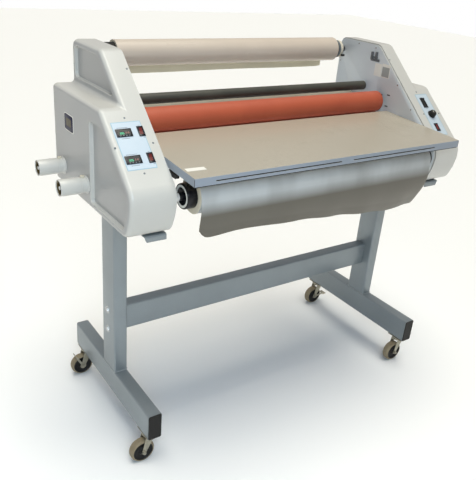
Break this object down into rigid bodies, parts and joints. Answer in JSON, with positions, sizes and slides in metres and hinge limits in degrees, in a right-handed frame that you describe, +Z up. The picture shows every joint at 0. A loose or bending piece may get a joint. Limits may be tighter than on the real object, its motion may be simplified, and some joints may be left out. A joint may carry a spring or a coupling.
{
  "type": "roll laminator",
  "caption": "Floor-standing wide-format roll laminator: end cabinets on a wheeled tube stand carry nip rollers, film supply rolls, a feed shelf, controls and take-up mandrels.",
  "frame": {"origin": "on the floor under the middle of the machine's overall outline", "axes": "+X along the rollers to the operator's right, -Y towards the operator's side with the feed shelf, +Z up"},
  "size_m": [1.539, 0.7336, 1.35],
  "materials": {
    "stand_paint": "semi-gloss grey",
    "shell": "fine texture, off-white",
    "plate": "satin grey",
    "shelf": "satin",
    "steel": "turned",
    "zinc": "zinc plated",
    "black_plastic": "moulded black",
    "tread": "tan tread",
    "silicone": "red-brown silicone",
    "black_rubber": "black",
    "grey_rubber": "grey",
    "film": "clear film wound on a core",
    "tail_film": "clear film",
    "collar": "ivory",
    "red_rocker": "dark red",
    "cast": "grey"
  },
  "bodies": {
    "frame": {"cabinet_support_left": "stand_paint", "cabinet_support_right": "stand_paint", "caster_plate_left_front": "zinc", "caster_plate_left_rear": "zinc", "caster_plate_right_front": "zinc", "caster_plate_right_rear": "zinc", "controller_lower": "black_plastic", "controller_upper": "black_plastic", "cover_left": "shell", "cover_right": "shell", "drive_motor": "cast", "end_cap_left_front": "black_plastic", "end_cap_right_front": "black_plastic", "feed_shelf": "shelf", "foot_left": "stand_paint", "foot_right": "stand_paint", "guard_tube_front": "shell", "guard_tube_rear": "shell", "lower_film_tail": "tail_film", "post_left": "stand_paint", "post_right": "stand_paint", "power_inlet": "black_plastic", "side_plate_left": "plate", "side_plate_right": "plate", "stretcher": "stand_paint", "tie_bar_rear": "steel", "upper_film_tail": "tail_film"},
    "swivel_left_front": {"caster_fork_left_front": "zinc"},
    "wheel_left_front": {"caster_wheel_left_front": "tread"},
    "swivel_right_front": {"caster_fork_right_front": "zinc"},
    "wheel_right_front": {"caster_wheel_right_front": "tread"},
    "swivel_left_rear": {"caster_fork_left_rear": "zinc"},
    "wheel_left_rear": {"caster_wheel_left_rear": "tread"},
    "brake_left_rear": {"brake_lever_left_rear": "zinc"},
    "swivel_right_rear": {"caster_fork_right_rear": "zinc"},
    "wheel_right_rear": {"caster_wheel_right_rear": "tread"},
    "brake_right_rear": {"brake_lever_right_rear": "zinc"},
    "nip_lift": {"bearing_block_left": "cast", "bearing_block_right": "cast"},
    "upper_main": {"upper_main_roller": "silicone"},
    "lower_main": {"lower_main_roller": "silicone", "drive_gear": "steel"},
    "upper_pull": {"upper_pull_roller": "grey_rubber"},
    "lower_pull": {"lower_pull_roller": "grey_rubber"},
    "idler": {"upper_idler": "black_rubber"},
    "pinion": {"drive_pinion": "steel"},
    "upper_supply": {"upper_mandrel": "steel", "upper_film_roll": "film", "upper_chuck_left": "black_plastic", "upper_chuck_right": "collar"},
    "lower_supply": {"lower_mandrel": "steel", "lower_film_roll": "film", "lower_chuck_left": "black_plastic"},
    "take_up_rear": {"take_up_mandrel_rear": "steel"},
    "take_up_front": {"take_up_mandrel_front": "steel"},
    "rocker_left_upper_tip": {"rocker_left_upper": "red_rocker"},
    "rocker_left_lower_tip": {"rocker_left_lower": "red_rocker"},
    "rocker_right_upper_tip": {"rocker_right_upper": "black_plastic"},
    "rocker_right_lower_tip": {"rocker_right_lower": "red_rocker"},
    "knob": {"speed_knob": "black_plastic"}
  },
  "joints": [
    {"name": "swivel_spin_left_front", "type": "hinge", "parent": "frame", "child": "swivel_left_front", "pos_m": [-0.5881, -0.24775, 0.1], "axis": [0, 0, 1], "continuous": true},
    {"name": "wheel_spin_left_front", "type": "hinge", "parent": "swivel_left_front", "child": "wheel_left_front", "pos_m": [-0.6151, -0.24775, 0.0445], "axis": [0, 1, 0], "continuous": true},
    {"name": "swivel_spin_right_front", "type": "hinge", "parent": "frame", "child": "swivel_right_front", "pos_m": [0.6811, -0.24775, 0.1], "axis": [0, 0, 1], "continuous": true},
    {"name": "wheel_spin_right_front", "type": "hinge", "parent": "swivel_right_front", "child": "wheel_right_front", "pos_m": [0.6541, -0.24775, 0.0445], "axis": [0, 1, 0], "continuous": true},
    {"name": "swivel_spin_left_rear", "type": "hinge", "parent": "frame", "child": "swivel_left_rear", "pos_m": [-0.5881, 0.31625, 0.1], "axis": [0, 0, 1], "continuous": true},
    {"name": "wheel_spin_left_rear", "type": "hinge", "parent": "swivel_left_rear", "child": "wheel_left_rear", "pos_m": [-0.6151, 0.31625, 0.0445], "axis": [0, 1, 0], "continuous": true},
    {"name": "brake_press_left_rear", "type": "hinge", "parent": "swivel_left_rear", "child": "brake_left_rear", "pos_m": [-0.6151, 0.29575, 0.0445], "axis": [0, 1, 0], "range_deg": [-15, 0]},
    {"name": "swivel_spin_right_rear", "type": "hinge", "parent": "frame", "child": "swivel_right_rear", "pos_m": [0.6811, 0.31625, 0.1], "axis": [0, 0, 1], "continuous": true},
    {"name": "wheel_spin_right_rear", "type": "hinge", "parent": "swivel_right_rear", "child": "wheel_right_rear", "pos_m": [0.6541, 0.31625, 0.0445], "axis": [0, 1, 0], "continuous": true},
    {"name": "brake_press_right_rear", "type": "hinge", "parent": "swivel_right_rear", "child": "brake_right_rear", "pos_m": [0.6541, 0.29575, 0.0445], "axis": [0, 1, 0], "range_deg": [0, 15]},
    {"name": "nip_lift_slide", "type": "slide", "parent": "frame", "child": "nip_lift", "axis": [0, 0, 1], "range_m": [0, 0.015]},
    {"name": "upper_main_spin", "type": "hinge", "parent": "nip_lift", "child": "upper_main", "pos_m": [0.0465, 0.06025, 1.13015], "axis": [1, 0, 0], "continuous": true},
    {"name": "lower_main_spin", "type": "hinge", "parent": "frame", "child": "lower_main", "pos_m": [0.0465, 0.06025, 1.04785], "axis": [1, 0, 0], "continuous": true},
    {"name": "upper_pull_spin", "type": "hinge", "parent": "frame", "child": "upper_pull", "pos_m": [0.0465, 0.22425, 1.11415], "axis": [1, 0, 0], "continuous": true},
    {"name": "lower_pull_spin", "type": "hinge", "parent": "frame", "child": "lower_pull", "pos_m": [0.0465, 0.22425, 1.06385], "axis": [1, 0, 0], "continuous": true},
    {"name": "idler_spin", "type": "hinge", "parent": "frame", "child": "idler", "pos_m": [0.0465, 0.15025, 1.177], "axis": [1, 0, 0], "continuous": true},
    {"name": "pinion_spin", "type": "hinge", "parent": "frame", "child": "pinion", "pos_m": [0.0465, 0.01768, 1.00528], "axis": [1, 0, 0], "continuous": true},
    {"name": "upper_supply_spin", "type": "hinge", "parent": "frame", "child": "upper_supply", "pos_m": [0.0465, 0.31725, 1.301], "axis": [1, 0, 0], "continuous": true},
    {"name": "lower_supply_spin", "type": "hinge", "parent": "frame", "child": "lower_supply", "pos_m": [0.0465, -0.24875, 0.98], "axis": [1, 0, 0], "continuous": true},
    {"name": "take_up_rear_spin", "type": "hinge", "parent": "frame", "child": "take_up_rear", "pos_m": [0.0465, 0.24925, 0.942], "axis": [1, 0, 0], "continuous": true},
    {"name": "take_up_front_spin", "type": "hinge", "parent": "frame", "child": "take_up_front", "pos_m": [0.0465, 0.04425, 0.942], "axis": [1, 0, 0], "continuous": true},
    {"name": "rocker_flip_left_upper", "type": "hinge", "parent": "frame", "child": "rocker_left_upper_tip", "pos_m": [-0.57, -0.11924, 1.1491], "axis": [1, 0, 0], "range_deg": [-8.5, 0]},
    {"name": "rocker_flip_left_lower", "type": "hinge", "parent": "frame", "child": "rocker_left_lower_tip", "pos_m": [-0.571, -0.18759, 1.08902], "axis": [1, 0, 0], "range_deg": [-8.5, 0]},
    {"name": "rocker_flip_right_upper", "type": "hinge", "parent": "frame", "child": "rocker_right_upper_tip", "pos_m": [0.6925, -0.11324, 1.15438], "axis": [1, 0, 0], "range_deg": [-6, 0]},
    {"name": "rocker_flip_right_lower", "type": "hinge", "parent": "frame", "child": "rocker_right_lower_tip", "pos_m": [0.6935, -0.20111, 1.07713], "axis": [1, 0, 0], "range_deg": [-8, 0]},
    {"name": "knob_turn", "type": "hinge", "parent": "frame", "child": "knob", "pos_m": [0.6995, -0.15737, 1.11825], "axis": [0, -0.6603, 0.751], "range_deg": [0, 300]}
  ],
  "couplings": [
    {"joint": "upper_main_spin", "follows": "lower_main_spin", "ratio": -1},
    {"joint": "pinion_spin", "follows": "lower_main_spin", "ratio": -3},
    {"joint": "lower_pull_spin", "follows": "lower_main_spin", "ratio": 1.64},
    {"joint": "upper_pull_spin", "follows": "lower_main_spin", "ratio": -1.64}
  ]
}
